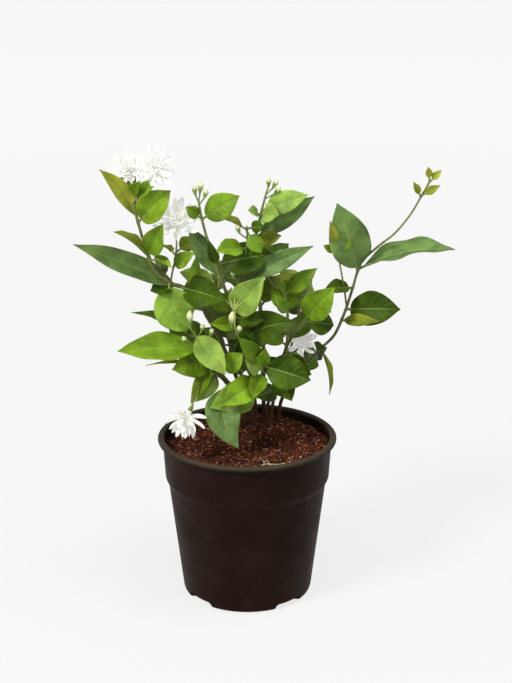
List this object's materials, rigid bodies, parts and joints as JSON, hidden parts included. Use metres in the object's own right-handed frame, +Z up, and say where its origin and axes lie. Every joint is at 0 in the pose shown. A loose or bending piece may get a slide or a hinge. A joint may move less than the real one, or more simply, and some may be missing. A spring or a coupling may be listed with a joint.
{
  "type": "potted arabian jasmine",
  "caption": "Young bushy jasmine with glossy oval leaves, closed buds and double white blooms, growing in soil in a dark tapered nursery pot.",
  "frame": {"origin": "centre of the pot's flat underside, on the ground", "axes": "+Z up along the pot's axis; -Y towards the viewer of the picture; +X to the right of the picture"},
  "size_m": [0.2643, 0.1572, 0.3379],
  "materials": {
    "pot": "satin",
    "soil": "rough",
    "foliage": "glossy",
    "petal": "matt"
  },
  "bodies": {
    "root": {"pot": "pot", "soil": "soil", "stem_left": "foliage", "stem_centre": "foliage", "stem_tall": "foliage", "stem_right": "foliage", "stem_right_low": "foliage", "stem_front": "foliage", "stem_low_left": "foliage", "stem_back_left": "foliage", "stem_back_right": "foliage", "bloom_far_left": "petal", "bloom_top_left": "petal", "bloom_left": "petal", "bloom_low": "petal", "bloom_back": "petal"}
  },
  "joints": []
}
